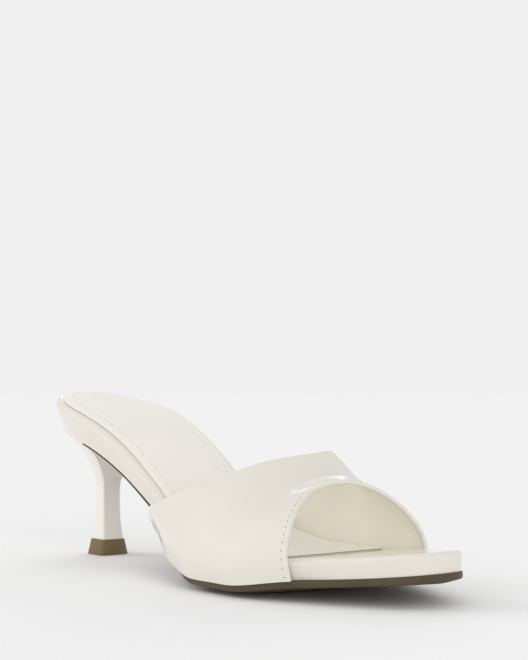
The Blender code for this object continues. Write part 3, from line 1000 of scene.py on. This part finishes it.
def stitch_row(name, run, outs, pitch, sink, slot):
    """One mesh of thread stitches along a run on a surface, with a dark disc of painted shade for
    the needle hole at each end.
    """
    width = sizes().thread_width
    lengths = run_lengths(run)
    count = round(lengths[-1] / pitch)
    points, faces, hole_shade_faces = [], [], []

    def lay(place):
        middle = along_run(run, lengths, place)
        near = [along_run(run, lengths, min(lengths[-1], max(0.0, place + reach)))
                for reach in (-0.0005, 0.0005)]
        ahead = (near[1] - near[0]).normalized()
        out = outs[min(range(len(lengths)), key=lambda k: abs(lengths[k] - place))]
        out = (out - ahead * out.dot(ahead)).normalized()
        return middle, ahead, out, ahead.cross(out)

    def close(rings, hole_shade):
        start = len(points)
        for ring_points in rings:
            points.extend(ring_points)
        made = walls(len(rings), STITCH_SIDES)
        made += [tuple(range(STITCH_SIDES))[::-1],
                 tuple(range((len(rings) - 1) * STITCH_SIDES, len(rings) * STITCH_SIDES))]
        for face in made:
            hole_shade_faces.extend([len(faces)] if hole_shade else [])
            faces.append([start + corner for corner in face])

    turned = [2 * pi * i / STITCH_SIDES for i in range(STITCH_SIDES)]
    for k in range(count):
        middle, ahead, out, across = lay(lengths[-1] * (k + 0.5) / count)
        rings = []
        for share in (-1.0, -0.85, -0.45, 0.0, 0.45, 0.85, 1.0):
            radius = width / 2 * (0.3 + 0.7 * (1 - share ** 4) ** 0.5)
            centre = middle + ahead * share * (pitch / 2 - width * 0.8)
            centre -= out * width * (sink + 0.5 * share ** 4)
            rings.append([centre + (across * cos(turn) + out * sin(turn)) * radius
                          for turn in turned])
        close(rings, False)
    # Each end gets a small dark disc, painted shade that stands in for the shadow inside the needle
    # hole
    for k in range(count + 1):
        middle, ahead, out, across = lay(lengths[-1] * k / count)
        close([[middle + (out * rise + (ahead * cos(turn) + across * sin(turn)) * size) * width
                for turn in turned] for rise, size in ((-0.3, 0.42), (0.04, 0.42), (0.08, 0.25))],
              True)
    row = new_piece(name, points, faces)
    finish(row, None, slot, *stitch_materials())
    for i in hole_shade_faces:
        row.data.polygons[i].material_index = 1
    only(row)
    bpy.ops.object.mode_set(mode="EDIT")
    bpy.ops.mesh.select_all(action="SELECT")
    bpy.ops.mesh.normals_make_consistent(inside=False)
    bpy.ops.object.mode_set(mode="OBJECT")
    return row


class MULE_OT_stitches(Operator):
    """Sew the rows of stitches along the band's opening and the sock's edge"""
    bl_idname = "mule.stitches"
    bl_label = "Stitches"

    def execute(self, context):
        outer = outer_face()
        run, outs = [], []
        for j in range(2, len(outer) - 2):
            line = outer[j]
            lengths = run_lengths(line)
            near = (outer[j - 1][-1] - outer[j + 1][-1]).normalized()
            slant = max(SHARPEST_SLANT, (line[-1] - line[-2]).normalized().cross(near).length)
            place = lengths[-1] - sizes().stitch_inset / slant
            run.append(along_run(line, lengths, place))
            outs.append(square(outer, j, len(line) - 2))
        stitch_row("band_stitches", run, outs, sizes().stitch_pitch, BAND_SINK, "upper")

        def height(x, across):
            return footbed_top(x) + SOCK_THICKNESS

        def inset(x):
            return step(x) + SOCK_INSET + sizes().sock_stitch_inset

        edge = [Vector(point) for point in ring(inset, height, end=SOCK_STITCH_END)]
        edge = edge[1:STATIONS + 1][::-1] + edge[:1] + edge[:STATIONS + RIBS - 1:-1]
        stitch_row("sock_stitches", edge, [Vector((0, 0, 1))] * len(edge),
                   sizes().sock_stitch_pitch, SOCK_SINK, "sock")
        return {"FINISHED"}


# Stage

class MULE_OT_stage(Operator):
    """Set up the pale floor, the soft studio light and the camera"""
    bl_idname = "mule.stage"
    bl_label = "Stage"

    def execute(self, context):
        scene = context.scene
        only()
        bpy.ops.mesh.primitive_circle_add(
            vertices=128, radius=sizes().floor_radius, fill_type="NGON")
        floor = context.object
        floor.name = "studio_floor"
        bpy.ops.object.mode_set(mode="EDIT")
        bpy.ops.mesh.select_all(action="SELECT")
        bpy.ops.mesh.inset(thickness=sizes().floor_radius * 0.9)
        bpy.ops.object.mode_set(mode="OBJECT")
        made, tree, shader = material("floor_paper", colours().floor, 0.9)
        shader.inputs["Specular IOR Level"].default_value = 0.0
        floor.data.materials.append(made)

        scene.view_settings.view_transform = "Standard"
        scene.view_settings.look = "None"
        world = bpy.data.worlds.new("studio")
        scene.world = world
        world.use_nodes = True
        tree = world.node_tree
        background = tree.nodes["Background"]
        background.inputs["Color"].default_value = (1.0, 1.0, 1.0, 1.0)
        seen = tree.nodes.new("ShaderNodeLightPath")
        mix = tree.nodes.new("ShaderNodeMapRange")
        mix.inputs["To Min"].default_value = SURROUND_LIGHT
        mix.inputs["To Max"].default_value = BACKDROP_LIGHT
        tree.links.new(seen.outputs["Is Camera Ray"], mix.inputs["Value"])
        tree.links.new(mix.outputs["Result"], background.inputs["Strength"])

        for name, azimuth, elevation, strength, spread in LAMPS:
            a, e = radians(azimuth), radians(elevation)
            towards = Vector((sin(a) * cos(e), -cos(a) * cos(e), sin(e)))
            bpy.ops.object.light_add(type="SUN", location=towards)
            lamp = context.object
            lamp.name = name
            lamp.rotation_euler = towards.to_track_quat("Z", "Y").to_euler()
            lamp.data.energy = strength
            lamp.data.angle = radians(spread)
            lamp.visible_glossy = name == "edge_light"

        bpy.ops.object.camera_add(
            location=(*CAMERA_PLACE, sizes().camera_height), rotation=CAMERA_TURN)
        camera = context.object
        camera.data.lens = CAMERA_LENS
        camera.data.sensor_width = 36.0
        camera.data.clip_start = 0.01
        camera.data.clip_end = 200.0
        scene.camera = camera
        return {"FINISHED"}


class MULE_PT_panel(Panel):
    """The shoe's operators, in the order in which it is made"""
    bl_label = "Kitten Heel Mule"
    bl_idname = "MULE_PT_panel"
    bl_space_type = "VIEW_3D"
    bl_region_type = "UI"
    bl_category = "Mule"

    def draw(self, context):
        for operator in STEPS:
            self.layout.operator(operator.bl_idname)


STEPS = (
    MULE_OT_platform,
    MULE_OT_outsole,
    MULE_OT_sock,
    MULE_OT_heel,
    MULE_OT_top_piece,
    MULE_OT_band,
    MULE_OT_stitches,
    MULE_OT_stage,
)
CLASSES = (MuleSizes, MuleColours, *STEPS, MULE_PT_panel)


def register():
    for each in CLASSES:
        bpy.utils.register_class(each)
    bpy.types.Scene.mule_sizes = PointerProperty(type=MuleSizes)
    bpy.types.Scene.mule_colours = PointerProperty(type=MuleColours)


def unregister():
    del bpy.types.Scene.mule_colours
    del bpy.types.Scene.mule_sizes
    for each in reversed(CLASSES):
        bpy.utils.unregister_class(each)


def main():
    register()
    for operator in STEPS:
        group, name = operator.bl_idname.split(".")
        getattr(getattr(bpy.ops, group), name)()


if __name__ == "__main__":
    main()
